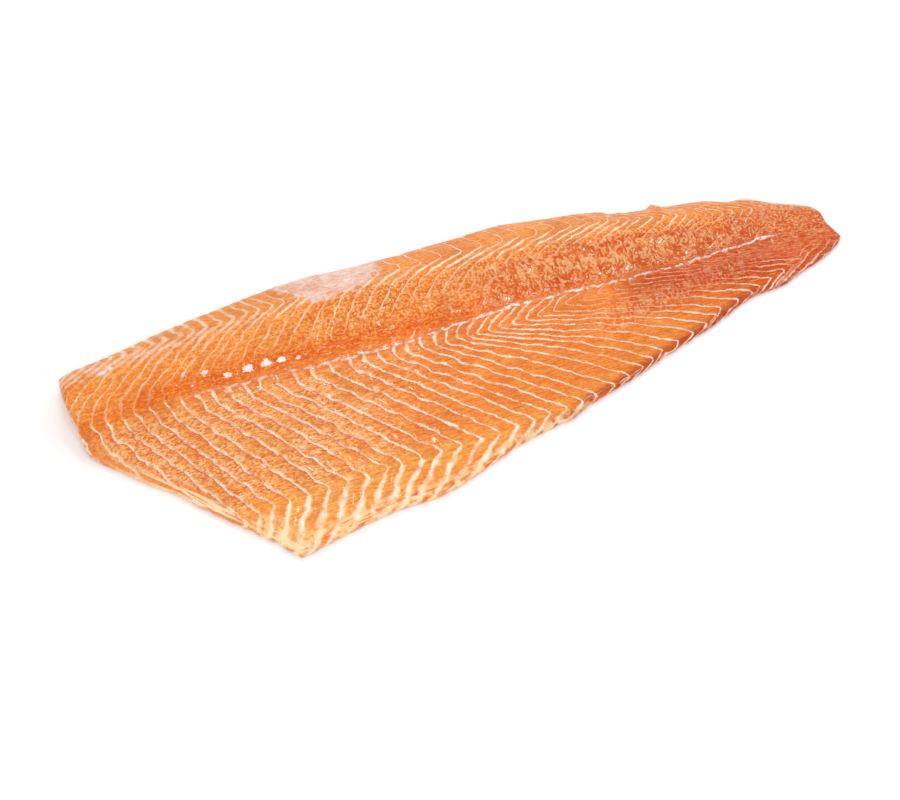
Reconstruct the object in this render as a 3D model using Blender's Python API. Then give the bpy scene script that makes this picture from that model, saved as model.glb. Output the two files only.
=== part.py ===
"""A whole raw side of salmon, skinned, lying flesh side up.

One solid: the muscle segments show as shallow bands between grooves that run in
the fish's herringbone, over a thick back (loin), a groove on the midline and a
thin belly flap. The head end is cut aslant, the underside lies flat.

Sizes are in millimetres: x runs from the head end to the tail, y from the
midline towards the back (minus is the belly), z up from the table. The mesh is
made in metres, about the middle of its own box.
"""
import bmesh
import bpy
import numpy as np
from mathutils.geometry import delaunay_2d_cdt

NAME = "salmon_fillet"
COLLECTION = "salmon_side"
MM = 0.001

# Outline from above, each edge listed from the head end to the tail.
BACK_EDGE = [
    (0, 46), (10, 49.5), (28, 52), (48, 56), (78, 62.5), (100, 66), (140, 72.5),
    (171, 75.5), (198, 74), (215, 74), (240, 74), (258, 75.5), (280, 76), (300, 77.5),
    (318, 78.5), (340, 75), (360, 72.5), (378, 70), (391, 67), (397, 62.5), (404, 62),
    (409, 60), (415, 59.5), (427, 57.5), (431, 62), (435, 57), (445, 55.5), (470, 52),
    (485, 45.5), (495, 45), (504, 41.5), (516, 33.5), (531, 26.5), (541, 20.5),
]
TAIL_END = [(543.5, 12), (543.5, 5), (543.5, -2), (544.5, -7)]
BELLY_EDGE = [
    (110, -132), (135, -126.5), (154, -123), (174, -120.5), (200, -120), (217, -116.5),
    (236, -110), (259, -102), (290, -95.5), (302, -94), (310, -90), (322, -86),
    (350, -78.5), (382, -67.5), (411, -59), (430, -52.5), (446, -46), (460, -42),
    (485, -39.5), (505, -32.5), (525, -26), (541, -17.5), (546, -13),
]
HEAD_CUT = [
    (0, 36), (1, 17), (4, 3), (6.5, -14), (12, -22), (22, -33), (37, -49), (51.5, -62.5),
    (62, -75), (81, -97), (96.5, -114),
]
# Where the head cut turns aslant, and where its bevel starts, as places in the list.
HEAD_CORNER = 3
HEAD_BEND = 4
EDGE_STEP = 4.2

# Thickness along the fish: x, then height over the table.
MIDLINE_HEIGHT = [(0, 17), (60, 20), (200, 21.5), (350, 17.5), (450, 11.5), (545, 5)]
RIDGE_HEIGHT = [(0, 22), (60, 25), (200, 28), (350, 22.5), (450, 14.5), (545, 6)]
BACK_EDGE_HEIGHT = [(0, 11), (80, 13), (200, 12.5), (400, 8), (545, 4)]
BELLY_EDGE_HEIGHT = [(0, 5), (110, 4.5), (350, 4), (545, 3)]
# Across the fish: share of the way to the edge, then share of the height there.
RIDGE_SHARE = 0.5
BACK_ACROSS = [0, 0.14, 0.32, RIDGE_SHARE, 0.66, 0.84, 1]
BACK_RISE = [0, 0.12, 0.7, 1, 0.82, 0.45, 0]
BELLY_ACROSS = [0, 0.18, 0.5, 0.78, 1]
BELLY_RISE = [1, 0.95, 0.62, 0.3, 0]

GROOVE_Y = 3
GROOVE_HALF_WIDTH = 6
GROOVE_DEPTH = 1.8
BEVEL_WIDTH = 10
BEVEL_HEIGHT = 3.2
BEVEL_CURVE = 1.6
RIM_WIDTH = 5
RIM_DROP = 0.22
RIM_INSET_TOP = 0.9
RIM_INSET_FOOT = 1.8
RIM_WAIST = 0.42

# Spacing of the walls between muscle segments along the midline: x, spacing.
FIRST_WALL = -58
LAST_WALL = 575
WALL_SPACING = [(40, 9.1), (60, 9.8), (110, 10), (130, 11.4), (143, 12.4), (170, 12.2),
                (185, 10.2), (250, 10.6), (340, 9.9), (450, 9.3), (545, 8.6)]
# Each wall zigzags across the fish. A stretch starts at the line y = START and
# leans by LEAN millimetres tailwards for each millimetre towards the back.
# Both change along the fish, between the walls that cross the midline at STATIONS.
STATIONS = [60, 110, 180, 240, 300, 345, 380, 420, 480]
ZIGZAG = [
    ("lower belly", [-200, -200, -200, -200, -200, -200, -200, -200, -200],
     [0.5, 0.7, 1.2, 1.4, 1.3, 1.5, 1.6, 1.8, 1.8]),
    ("outer belly", [-97, -95, -92, -85, -64, -46, -34, -22, -13],
     [-0.62, -0.8, -1.06, -1.37, -2.0, -3.0, -4.0, -6.0, -5.0]),
    ("inner belly", [-48, -48, -48, -48, -46, -37, -26, -17, -11],
     [-0.65, -0.95, -1.0, -1.35, -3.1, -5.3, -8.2, -11.5, -9.0]),
    ("below the midline", [-20, -20, -20, -20, -21, -19, -15, -10, -7],
     [-0.35, -0.1, 0.1, 0.5, 1.6, 2.1, 2.2, 2.0, 1.5]),
    ("above the midline", [-3, -3, -3, -3, -4, -4, -4, -4, -3],
     [0.4, 0.1, 0.2, 0.2, 0.7, 0.9, 1.3, 1.6, 1.6]),
    ("loin", [8, 9, 9, 9, 9, 9, 8, 8, 7],
     [1.3, 1.0, 0.75, 1.0, 1.5, 1.8, 2.2, 2.0, 2.0]),
    ("ridge", [32, 33, 34, 34, 33, 31, 28, 25, 20],
     [1.6, 2.0, 1.6, 2.7, 2.6, 1.9, 1.6, 1.2, 1.2]),
    ("back strip", [42, 43, 47, 50, 49, 43, 37, 31, 26],
     [-0.4, -0.6, -0.5, -0.4, -0.6, -1.6, -1.8, -1.5, -1.2]),
]
TURN_ROUNDING = 2.5
WALL_DEPTH = 0.75
BAND_FULLNESS = 0.8
# Mesh lines along the walls: spacing of their points, gap to the rim, the
# narrowest band that gets lines, and how near two points merge.
WALL_SAMPLE = 5.6
INNER_MARGIN = 3.4
NARROW_BAND = 3.2
MERGE_GAP = 0.4
LOWEST_Y = -140
HIGHEST_Y = 82
FINE_STEPS = 400
HALVINGS = 32

# Torn gashes under the loin ridge near the tail: x, y, length.
GASHES = [(375, 24, 18), (389, 26, 8), (404, 24.5, 12), (416, 22, 9), (427, 21.5, 10),
          (438, 21, 12), (452, 19.5, 11), (463, 19, 7)]
GASH_DEPTH = 1.6
GASH_HALF_WIDTH = 1.6
GASH_POINTS = 4

FLESH_COLOUR = (0.84, 0.25, 0.045, 1)
FLESH_ROUGHNESS = 0.35


def along(table, x):
    """Value of a (position, value) table at x, straight between its points."""
    places, values = zip(*table)
    return np.interp(x, places, values)


def hermite(share, knots, values):
    """Smooth curve through values (one row for each knot) at each share."""
    knots = np.asarray(knots, float)
    steps = np.diff(knots)[:, None]
    rises = np.diff(values, axis=0) / steps
    slopes = np.vstack([rises[:1], (rises[1:] + rises[:-1]) / 2, rises[-1:]])
    cell = np.clip(np.searchsorted(knots, share, side="right") - 1, 0, len(knots) - 2)
    column = np.arange(len(share))
    width = steps[cell, 0]
    t = (share - knots[cell]) / width
    start, end = values[cell, column], values[cell + 1, column]
    leave, arrive = slopes[cell, column] * width, slopes[cell + 1, column] * width
    bend = 3 * t * t - 2 * t ** 3
    return (start * (1 - bend) + end * bend
            + leave * t * (1 - t) ** 2 - arrive * t * t * (1 - t))


def wall_places():
    """Midline crossings of the walls between segments, from the head to the tail."""
    places = [float(FIRST_WALL)]
    while places[-1] < LAST_WALL:
        places.append(places[-1] + float(along(WALL_SPACING, places[-1])))
    return np.array(places)


def wall_x(crossing, y):
    """Where a wall that crosses the midline at x = crossing lies at the height y."""
    def ramp(reach):
        return 0.5 * (reach + np.sqrt(reach * reach + TURN_ROUNDING ** 2))

    x = np.array(crossing, float)
    lean_before = 0.0
    for name, starts, leans in ZIGZAG:
        start = np.interp(crossing, STATIONS, starts)
        lean = np.interp(crossing, STATIONS, leans)
        x = x + (lean - lean_before) * (ramp(y - start) - ramp(-start))
        lean_before = lean
    return x


def crossing_at(x, y):
    """Midline crossing of the wall through each point, found by halving."""
    low = np.full_like(x, FIRST_WALL)
    high = np.full_like(x, LAST_WALL)
    for _ in range(HALVINGS):
        middle = (low + high) / 2
        beyond = wall_x(middle, y) > x
        high = np.where(beyond, middle, high)
        low = np.where(beyond, low, middle)
    return low


def band_width(x, y):
    """Width of the muscle segment at each point, measured square to its walls."""
    here = crossing_at(x, y)
    slope = np.hypot(crossing_at(x + 1, y) - here, crossing_at(x, y + 1) - here)
    return along(WALL_SPACING, here) / np.maximum(slope, 0.1)


def resample(points, step, closed=False):
    """Even steps along a polyline, corners sharper than the step rounded off."""
    points = np.asarray(points, float)
    if closed:
        points = np.vstack([points, points[:1]])
    lengths = np.r_[0, np.cumsum(np.hypot(*np.diff(points, axis=0).T))]
    count = max(2, int(round(lengths[-1] / step)))
    places = np.linspace(0, lengths[-1], count + 1)
    if closed:
        places = places[:-1]
    return np.column_stack([np.interp(places, lengths, points[:, axis]) for axis in (0, 1)])


def outline():
    """Closed outline, counter-clockwise from above, from the head end's back corner."""
    ring = HEAD_CUT + BELLY_EDGE + TAIL_END[::-1] + BACK_EDGE[::-1]
    return resample(ring, EDGE_STEP, closed=True)


def inward(ring, inset):
    """The closed ring moved inwards by the inset."""
    ahead = np.roll(ring, -1, axis=0) - np.roll(ring, 1, axis=0)
    normal = np.column_stack([-ahead[:, 1], ahead[:, 0]])
    normal /= np.linalg.norm(normal, axis=1, keepdims=True)
    return ring + normal * np.reshape(inset, (-1, 1))


def distance_to(line, points, closed=False):
    """Shortest distance from each point to a polyline."""
    starts = np.asarray(line, float)
    ends = np.roll(starts, -1, axis=0)
    if not closed:
        starts, ends = starts[:-1], ends[:-1]
    best = np.full(len(points), np.inf)
    for start, end in zip(starts, ends):
        run = end - start
        t = np.clip(((points - start) @ run) / (run @ run), 0, 1)
        best = np.minimum(best, np.linalg.norm(points - start - t[:, None] * run, axis=1))
    return best


def inside(ring, points):
    """Whether each point lies in the closed ring."""
    odd = np.zeros(len(points), bool)
    for start, end in zip(ring, np.roll(ring, -1, axis=0)):
        spans = (start[1] > points[:, 1]) != (end[1] > points[:, 1])
        rise = end[1] - start[1]
        if rise != 0:
            cut = start[0] + (points[:, 1] - start[1]) * (end[0] - start[0]) / rise
            odd ^= spans & (points[:, 0] < cut)
    return odd


def surface(points, ring):
    """Height of the flesh over the table at each point."""
    x, y = points.T
    belly_side = HEAD_CUT[HEAD_CORNER:] + BELLY_EDGE
    reach = np.where(y >= 0, along(BACK_EDGE, x), -along(belly_side, x))
    share = np.clip(np.abs(y) / reach, 0, 1)
    midline = along(MIDLINE_HEIGHT, x)
    ridge = along(RIDGE_HEIGHT, x)
    back_edge = along(BACK_EDGE_HEIGHT, x)
    belly_edge = along(BELLY_EDGE_HEIGHT, x)
    before_ridge = np.array(BACK_ACROSS)[:, None] < RIDGE_SHARE
    low = np.where(before_ridge, midline, back_edge)
    back = low + np.array(BACK_RISE)[:, None] * (ridge - low)
    belly = belly_edge + np.array(BELLY_RISE)[:, None] * (midline - belly_edge)
    z = np.where(y >= 0, hermite(share, BACK_ACROSS, back), hermite(share, BELLY_ACROSS, belly))
    z -= GROOVE_DEPTH * np.exp(-((y - GROOVE_Y) / GROOVE_HALF_WIDTH) ** 2) * z / midline

    rim = np.clip(distance_to(ring, points, closed=True) / RIM_WIDTH, 0, 1)
    z *= 1 - RIM_DROP * (1 - rim) ** 2
    to_cut = np.clip(distance_to(HEAD_CUT[HEAD_BEND:] + BELLY_EDGE[:1], points) / BEVEL_WIDTH, 0, 1)
    z -= (z - BEVEL_HEIGHT) * (1 - to_cut) ** BEVEL_CURVE

    crossings = wall_places()
    segment = np.interp(crossing_at(x, y), crossings, np.arange(len(crossings)))
    wall = 1 - np.abs(np.sin(np.pi * segment)) ** BAND_FULLNESS
    wide = np.clip(band_width(x, y) / NARROW_BAND - 1, 0, 1)
    z -= WALL_DEPTH * wall * wide * rim ** 2
    for gash_x, gash_y, length in GASHES:
        reach = ((x - gash_x) / (length / 2)) ** 2 + ((y - gash_y) / GASH_HALF_WIDTH) ** 2
        z -= GASH_DEPTH * np.clip(1 - reach, 0, 1)
    return z


def wall_lines(ring):
    """Polylines along the walls and midway between them, kept clear of the rim."""
    crossings = wall_places()
    middles = (crossings[1:] + crossings[:-1]) / 2
    across = np.linspace(LOWEST_Y, HIGHEST_Y, FINE_STEPS)
    lines = []
    for crossing in np.sort(np.r_[crossings, middles]):
        points = np.column_stack([wall_x(np.full_like(across, crossing), across), across])
        clear = inside(ring, points) & (distance_to(ring, points, closed=True) > INNER_MARGIN)
        clear &= band_width(*points.T) > NARROW_BAND
        cuts = np.flatnonzero(np.diff(clear.astype(int))) + 1
        for stretch in np.split(np.arange(len(points)), cuts):
            if clear[stretch[0]] and len(stretch) > 4:
                lines.append(resample(points[stretch], WALL_SAMPLE))
    return lines


def triangulate(ring):
    """Vertices and triangles inside the ring that follow the walls and gashes."""
    lines = wall_lines(ring)
    for gash_x, gash_y, length in GASHES:
        spread = np.linspace(-0.5, 0.5, GASH_POINTS) * length
        lines.append(np.column_stack([gash_x + spread, np.full(GASH_POINTS, gash_y)]))
    vertices = [tuple(point) for point in ring]
    edges = [(i, (i + 1) % len(ring)) for i in range(len(ring))]
    for line in lines:
        first = len(vertices)
        vertices += [tuple(point) for point in line]
        edges += [(first + i, first + i + 1) for i in range(len(line) - 1)]
    keep_inside = 1
    found = delaunay_2d_cdt(vertices, edges, [], keep_inside, MERGE_GAP)
    rim = {}
    for index, sources in enumerate(found[3]):
        for source in sources:
            if source < len(ring):
                rim[source] = index
    return np.array([tuple(v) for v in found[0]]), found[2], [rim[i] for i in range(len(ring))]


def build_mesh():
    """The flesh surface, its rim and its flat underside as one closed mesh."""
    ring = outline()
    top_ring = inward(ring, RIM_INSET_TOP)
    points, triangles, rim = triangulate(top_ring)
    heights = surface(points, ring)
    centre = (ring.min(axis=0) + ring.max(axis=0)) / 2

    def place(bm, point, z):
        return bm.verts.new(((point[0] - centre[0]) * MM, (point[1] - centre[1]) * MM, z * MM))

    bm = bmesh.new()
    top = [place(bm, point, z) for point, z in zip(points, heights)]
    for triangle in triangles:
        bm.faces.new([top[i] for i in triangle])
    edge_heights = heights[rim]
    waist = [place(bm, point, z * RIM_WAIST) for point, z in zip(ring, edge_heights)]
    foot_ring = inward(ring, RIM_INSET_FOOT)
    foot = [place(bm, point, 0) for point in foot_ring]
    upper = [top[i] for i in rim]
    for above, below in ((upper, waist), (waist, foot)):
        for i in range(len(ring)):
            j = (i + 1) % len(ring)
            bm.faces.new([above[i], below[i], below[j], above[j]])
    bm.faces.new(foot[::-1])
    bmesh.ops.triangulate(bm, faces=[f for f in bm.faces if len(f.verts) > 3])
    bmesh.ops.recalc_face_normals(bm, faces=bm.faces)
    mesh = bpy.data.meshes.new(NAME)
    bm.to_mesh(mesh)
    bm.free()
    return mesh


def flesh_material():
    material = bpy.data.materials.new("raw_salmon_flesh")
    material.use_nodes = True
    shader = material.node_tree.nodes["Principled BSDF"]
    shader.inputs["Base Color"].default_value = FLESH_COLOUR
    shader.inputs["Roughness"].default_value = FLESH_ROUGHNESS
    shader.inputs["Metallic"].default_value = 0
    return material


def main():
    for thing in list(bpy.data.objects):
        bpy.data.objects.remove(thing, do_unlink=True)
    collection = bpy.data.collections.new(COLLECTION)
    bpy.context.scene.collection.children.link(collection)
    fillet = bpy.data.objects.new(NAME, build_mesh())
    fillet.data.materials.append(flesh_material())
    fillet.data.shade_smooth()
    fillet.data.set_sharp_from_angle(angle=np.radians(40))
    collection.objects.link(fillet)


main()
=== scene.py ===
"""A whole raw side of salmon on a pale table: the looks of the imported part."""

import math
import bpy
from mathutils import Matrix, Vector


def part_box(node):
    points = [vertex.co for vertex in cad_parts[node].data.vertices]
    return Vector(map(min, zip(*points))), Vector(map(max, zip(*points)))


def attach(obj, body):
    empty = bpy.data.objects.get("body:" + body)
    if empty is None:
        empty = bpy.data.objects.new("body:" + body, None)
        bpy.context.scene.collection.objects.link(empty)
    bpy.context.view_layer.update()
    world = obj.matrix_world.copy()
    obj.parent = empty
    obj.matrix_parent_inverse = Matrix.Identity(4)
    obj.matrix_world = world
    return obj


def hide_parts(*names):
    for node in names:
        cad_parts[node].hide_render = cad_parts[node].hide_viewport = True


bl_info = {
    "name": "Salmon side",
    "version": (1, 0, 0),
    "blender": (4, 5, 0),
    "location": "View3D > Sidebar > Salmon",
    "description": "Models a skinned raw salmon side, its light and its table",
    "category": "Add Mesh",
}

import bpy
import numpy as np
from bpy.props import FloatProperty, FloatVectorProperty, PointerProperty
from bpy.types import Operator, Panel, PropertyGroup
from mathutils import Vector

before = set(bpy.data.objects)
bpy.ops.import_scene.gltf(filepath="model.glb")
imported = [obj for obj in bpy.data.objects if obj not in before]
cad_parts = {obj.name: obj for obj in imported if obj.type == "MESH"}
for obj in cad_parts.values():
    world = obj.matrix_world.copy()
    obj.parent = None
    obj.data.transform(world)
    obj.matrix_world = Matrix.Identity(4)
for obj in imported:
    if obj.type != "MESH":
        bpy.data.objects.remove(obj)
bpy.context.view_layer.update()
NODE = "salmon_fillet"
MM = 0.001

# Sizes below are in millimetres: x from the head end to the tail, y from the
# midline towards the back (minus is the belly), z up from the table.
# Outline from above, each edge from the head end to the tail.
BACK_EDGE = [
    (0, 46), (10, 49.5), (28, 52), (48, 56), (78, 62.5), (100, 66), (140, 72.5),
    (171, 75.5), (198, 74), (215, 74), (240, 74), (258, 75.5), (280, 76), (300, 77.5),
    (318, 78.5), (340, 75), (360, 72.5), (378, 70), (391, 67), (397, 62.5), (404, 62),
    (409, 60), (415, 59.3), (424, 58.2), (431, 61.8), (437, 56.8), (445, 55.5), (470, 52),
    (485, 45.5), (495, 45), (504, 41.5), (516, 33.5), (531, 26.5), (541, 20.5),
]
BELLY_EDGE = [
    (110, -132), (135, -126.5), (154, -123), (174, -120.5), (200, -120), (217, -116.5),
    (236, -110), (259, -102), (290, -95.5), (302, -94), (310, -90), (322, -86),
    (350, -78.5), (382, -67.5), (411, -59), (430, -52.5), (446, -46), (460, -42),
    (485, -39.5), (505, -32.5), (525, -26), (541, -17.5), (546, -13),
]
# The two ends, each from the belly to the back.
HEAD_CUT = [
    (110, -132), (96.5, -114), (81, -97), (62, -75), (51.5, -62.5), (37, -49), (22, -33),
    (12, -22), (6.5, -14), (4, 3), (1, 17), (0, 36), (0, 46),
]
# Which points of the head cut end its bevel, and its part below the midline.
HEAD_BEVEL_END = 7
HEAD_BELLY_END = 8
TAIL_END = [(546, -13), (544.5, -7), (543.5, -2), (543.5, 5), (543.5, 12), (541, 20.5)]
# Middle of the outline's box, which stands on the middle of the part's.
PLAN_CENTRE = (272.9, -26.8)

# Thickness along the fish: x, then height over the table.
MIDLINE_HEIGHT = [(0, 17), (60, 20), (200, 21.5), (350, 17.5), (450, 11.5), (545, 5)]
RIDGE_HEIGHT = [(0, 22), (60, 25), (200, 28), (350, 22.5), (450, 14.5), (545, 6)]
BACK_EDGE_HEIGHT = [(0, 11), (80, 13), (200, 12.5), (400, 8), (545, 4)]
BELLY_EDGE_HEIGHT = [(0, 5), (110, 4.5), (350, 4), (545, 3)]
# Across the fish: share of the way to the edge, then share of the height there.
RIDGE_SHARE = 0.5
BACK_ACROSS = [0, 0.14, 0.32, RIDGE_SHARE, 0.66, 0.84, 1]
BACK_RISE = [0, 0.12, 0.7, 1, 0.82, 0.45, 0]
BELLY_ACROSS = [0, 0.18, 0.5, 0.78, 1]
BELLY_RISE = [1, 0.95, 0.62, 0.3, 0]
GROOVE_Y = 3
GROOVE_HALF_WIDTH = 7
GROOVE_DEPTH = 1.3
BEVEL_WIDTH = 10
BEVEL_HEIGHT = 3.2
BEVEL_CURVE = 1.6
RIM_WIDTH = 5
RIM_DROP = 0.22
RIM_INSET_TOP = 0.9
RIM_INSET_FOOT = 1.8
RIM_WAIST = 0.42
RIM_ROWS = 5
UNDERSIDE_BORDER = 0.6
SMOOTH_STEPS = 5

# Spacing of the walls between muscle segments along the midline: x, spacing.
FIRST_WALL = -58
LAST_WALL = 575
WALL_SPACING = [(40, 9.1), (60, 9.8), (110, 10), (130, 11.4), (143, 12.4), (170, 12.2),
                (185, 10.2), (250, 10.6), (340, 9.9), (450, 9.3), (545, 8.6)]
# Each wall zigzags across the fish. A stretch starts at the line y = START and
# leans by LEAN millimetres tailwards for each millimetre towards the back.
# Both change along the fish, between the walls that cross the midline at STATIONS.
STATIONS = [60, 110, 180, 240, 300, 345, 380, 420, 480]
BELLY_TURN = [-97, -95, -92, -85, -64, -46, -34, -22, -13]
RIDGE_TURN = [32, 33, 34, 34, 33, 31, 28, 25, 20]
BACK_TURN = [42, 43, 47, 50, 49, 43, 37, 31, 26]
ZIGZAG = [
    ("lower belly", [-200, -200, -200, -200, -200, -200, -200, -200, -200],
     [0.5, 0.7, 1.2, 1.4, 1.3, 1.5, 1.6, 1.8, 1.8]),
    ("outer belly", BELLY_TURN,
     [-0.62, -0.8, -1.06, -1.37, -2.0, -3.0, -4.0, -6.0, -5.0]),
    ("inner belly", [-48, -48, -48, -48, -46, -37, -26, -17, -11],
     [-0.65, -0.95, -1.0, -1.35, -3.1, -5.3, -8.2, -11.5, -9.0]),
    ("below the midline", [-20, -20, -20, -20, -21, -19, -15, -10, -7],
     [-0.35, -0.1, 0.1, 0.5, 1.6, 2.1, 2.2, 2.0, 1.5]),
    ("above the midline", [-3, -3, -3, -3, -4, -4, -4, -4, -3],
     [0.4, 0.1, 0.2, 0.2, 0.7, 0.9, 1.3, 1.6, 1.6]),
    ("loin", [8, 9, 9, 9, 9, 9, 8, 8, 7],
     [1.3, 1.0, 0.75, 1.0, 1.5, 1.8, 2.2, 2.0, 2.0]),
    ("ridge", RIDGE_TURN,
     [1.6, 2.0, 1.6, 2.7, 2.6, 1.9, 1.6, 1.2, 1.2]),
    ("back strip", BACK_TURN,
     [-0.4, -0.6, -0.5, -0.4, -0.6, -1.6, -1.8, -1.5, -1.2]),
]
TURN_ROUNDING = 2.5
TIP_ROUNDING = 0.7
HALVINGS = 30
# The pale membrane that runs along the midline: x, y.
MIDLINE_STRIP = [(60, -5), (100, -7), (130, -9), (175, -12), (215, -13), (250, -9),
                 (280, -6.5), (310, -5.5), (360, -7.5), (410, -7), (440, -5), (460, -3),
                 (480, 0), (500, 1)]
# Torn gashes under the loin ridge near the tail: x, y, length.
GASHES = [(375, 24, 18), (389, 26, 8), (404, 24.5, 12), (416, 22, 9), (427, 21.5, 10),
          (438, 21, 12), (452, 19.5, 11), (463, 19, 7)]
GASH_DEPTH = 1.6
GASH_HALF_WIDTH = 1.8
# Spots of painted highlight and of pale fat: x, y, size. The painted highlights lie in the
# groove, one in each segment;
# the three fat blobs lie by the head end and the back edge.
GLINT_AND_FAT_SPOTS = [(77, 11, 2.1), (89, 9, 2.4), (103, 3, 3.0), (116, 3, 3.6), (128, 3, 3.7),
             (138, 2.5, 3.2), (148, 0.5, 2.0), (29, 29, 2.8), (34, 31, 2.4), (84, 58, 2.6)]
# The thin pink skin left on the back: x, lower border y.
MEMBRANE_BORDER = [(144, 84), (150, 62), (155, 48), (165, 40), (185, 37), (205, 38),
                   (214, 43), (220, 54), (226, 70), (230, 86)]

GRID_ALONG = 560
GRID_ACROSS = 136
RAGGED_EDGE = 0.45
SEED = 11

# Underside, from the middle of the part: the side line, and the turn, lean and spacing
# of the chevrons beside it.
SIDE_LINE_Y = 30.0
CHEVRON_TURN = 26.0
CHEVRON_LEAN = 0.9
CHEVRON_SPACING = 10.5
# Faces whose middle lies lower than this, in metres, are the underside.
UNDERSIDE_BELOW = 0.00002

# Stage, in metres. The lights are square and look at the origin: name, place, size,
# share of the key power. The four small ones, behind and above, make the wet glints.
CAMERA_PLACE = (-0.2143, -0.48545, 0.6304)
CAMERA_TARGET = (-0.0403, -0.02475, 0)
TABLE_SIZE = 8
TABLE_HEIGHT = -0.0003
LIGHTS = [
    ("front", (-0.15, -1.15, 1.2), 1.2, 1.6),
    ("left", (-1.25, -0.5, 0.95), 1.0, 1.2),
    ("right", (1.2, -0.3, 1.05), 1.0, 1),
    ("head window", (0.08, 0.85, 1.0), 0.13, 0.3),
    ("window", (0.28, 0.8, 1.05), 0.13, 0.3),
    ("tail window", (0.73, 0.9, 1.0), 0.16, 0.5),
    ("lamp", (0.05, 0.3, 1.6), 0.11, 0.5),
]


def srgb(red, green, blue):
    """Linear colour from 0 to 255 values."""
    shares = np.array([red, green, blue]) / 255
    return tuple(np.where(shares <= 0.04045, shares / 12.92, ((shares + 0.055) / 1.055) ** 2.4))


def opaque(red, green, blue):
    """Linear colour with its fourth value, as a node takes it."""
    return (*srgb(red, green, blue), 1)


# Colours of the smaller marks.
# Painted shade: darker red in the wrinkles' creases, beside each wall and around the midline
# strip.
PAINTED_SHADE = opaque(208, 74, 14)
WHITE_FAT = opaque(255, 240, 228)
# Peach: painted highlights on the loin's bumps, and the tint of the loin's walls.
PEACH = opaque(250, 190, 146)
# Painted highlight and painted glint of the wrinkles of wet flesh.
WRINKLE_PAINTED_HIGHLIGHT = opaque(250, 184, 128)
WRINKLE_PAINTED_GLINT = opaque(255, 214, 172)
# Painted sheen of the curls, and the painted shade and painted glints of the groove's glitter.
CURL_PAINTED_SHEEN = opaque(252, 204, 156)
GROOVE_PAINTED_SHADE = opaque(206, 66, 0)
GROOVE_GLINT = opaque(252, 178, 100)
TAIL_STREAK = opaque(186, 62, 14)
# Painted glints along the tail's fibres.
TAIL_GLINT = opaque(250, 172, 110)
FLANK_FAT = opaque(252, 214, 158)
BEVEL_PALE = opaque(255, 224, 182)
BEVEL_DARK = opaque(226, 116, 40)
TORN_LAYER = opaque(214, 96, 38)
FILM_THREAD = opaque(236, 146, 112)
# Painted highlight spots in the groove, and pale fat blobs.
GLINT_AND_FAT_SPOT = opaque(255, 226, 224)
SIDE_LINE_BROWN = opaque(128, 74, 52)
SILVER_FAT = opaque(214, 196, 186)
RED_TAIL = srgb(184, 60, 10)
# Torn layers of the belly edge near the tail, darkened also with painted shade of the rim.
TORN_AND_SHADED_EDGE = srgb(182, 64, 16)


def colour_property(name, description, colour):
    return FloatVectorProperty(name=name, description=description, subtype="COLOR", size=3,
                               min=0, max=1, default=colour)


class SalmonLook(PropertyGroup):
    """Sizes and colours of the fillet that a user would change."""
    belly_colour: colour_property(
        "Belly", "Flesh of the belly side", srgb(233, 131, 56))
    head_colour: colour_property(
        "Head end", "Paler flesh of the belly near the head", srgb(232, 144, 70))
    flank_colour: colour_property(
        "Flank", "Yellower flesh along the belly edge", srgb(240, 154, 70))
    loin_colour: colour_property(
        "Loin", "Smooth flesh of the thick back", srgb(236, 140, 58))
    groove_colour: colour_property(
        "Groove", "Deep orange flesh beside the midline", srgb(226, 104, 14))
    back_colour: colour_property(
        "Back strip", "Paler flesh along the back edge", srgb(236, 142, 66))
    tail_colour: colour_property(
        "Tail", "Redder flesh near the tail", srgb(208, 90, 18))
    scraped_colour: colour_property(
        "Scraped flesh", "Crinkled flesh where the knife ran", srgb(232, 132, 62))
    rim_colour: colour_property(
        "Cut rim", "Yellower flesh of the cut edges", srgb(236, 140, 66))
    wall_colour: colour_property(
        "Walls", "Pale fat between the segments", srgb(255, 226, 196))
    membrane_colour: colour_property(
        "Membrane", "Thin pink skin left on the back", srgb(255, 218, 204))
    roughness: FloatProperty(
        name="Roughness", description="How dull the moist flesh is", subtype="FACTOR",
        min=0, max=1, default=0.36)
    wall_relief: FloatProperty(
        name="Segment relief", description="Height of the bands between the walls",
        subtype="DISTANCE", unit="LENGTH", min=0, max=0.002, default=0.0004)


class StageLook(PropertyGroup):
    """Table, light and camera."""
    table_colour: colour_property("Table", "Plain pale table", (0.93, 0.93, 0.93))
    key_power: FloatProperty(
        name="Key light", description="Power that each light takes its share of",
        subtype="POWER", unit="POWER", min=0, default=4.0)
    fill_strength: FloatProperty(
        name="Fill", description="Strength of the white surroundings", min=0, default=0.62)
    lens: FloatProperty(
        name="Lens", description="Focal length of the camera", subtype="DISTANCE_CAMERA",
        min=1, default=49.76)


def along(table, x):
    """Value of a (position, value) table at x, straight between its points."""
    places, values = zip(*table)
    return np.interp(x, places, values)


def hermite(share, knots, values):
    """Smooth curve through values (one row for each knot) at each share."""
    knots = np.asarray(knots, float)
    steps = np.diff(knots)[:, None]
    rises = np.diff(values, axis=0) / steps
    slopes = np.vstack([rises[:1], (rises[1:] + rises[:-1]) / 2, rises[-1:]])
    cell = np.clip(np.searchsorted(knots, share, side="right") - 1, 0, len(knots) - 2)
    column = np.arange(len(share))
    width = steps[cell, 0]
    t = (share - knots[cell]) / width
    start, end = values[cell, column], values[cell + 1, column]
    leave, arrive = slopes[cell, column] * width, slopes[cell + 1, column] * width
    bend = 3 * t * t - 2 * t ** 3
    return (start * (1 - bend) + end * bend
            + leave * t * (1 - t) ** 2 - arrive * t * t * (1 - t))


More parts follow.
